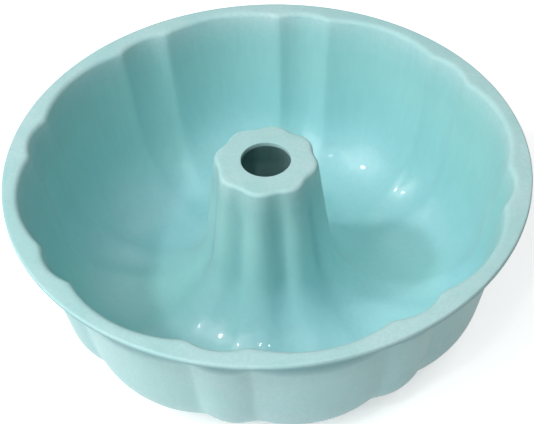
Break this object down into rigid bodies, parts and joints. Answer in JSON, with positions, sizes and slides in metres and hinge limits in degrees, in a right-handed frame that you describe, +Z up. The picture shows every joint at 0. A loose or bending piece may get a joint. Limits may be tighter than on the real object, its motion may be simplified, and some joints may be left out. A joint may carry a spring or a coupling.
{
  "type": "silicone cake pan",
  "caption": "Round fluted ring cake pan with a flat rim and a ribbed hollow tube up its middle, moulded in one piece of soft silicone.",
  "frame": {"origin": "centre of the foot, on the surface that the pan stands on", "axes": "+Z up along the pan's axis, out of its mouth; +X through the middle of a narrow flute"},
  "size_m": [0.24, 0.24, 0.085],
  "materials": {
    "silicone": "satin moulded silicone, pale turquoise"
  },
  "bodies": {
    "root": {"cake_pan": "silicone"}
  },
  "joints": []
}
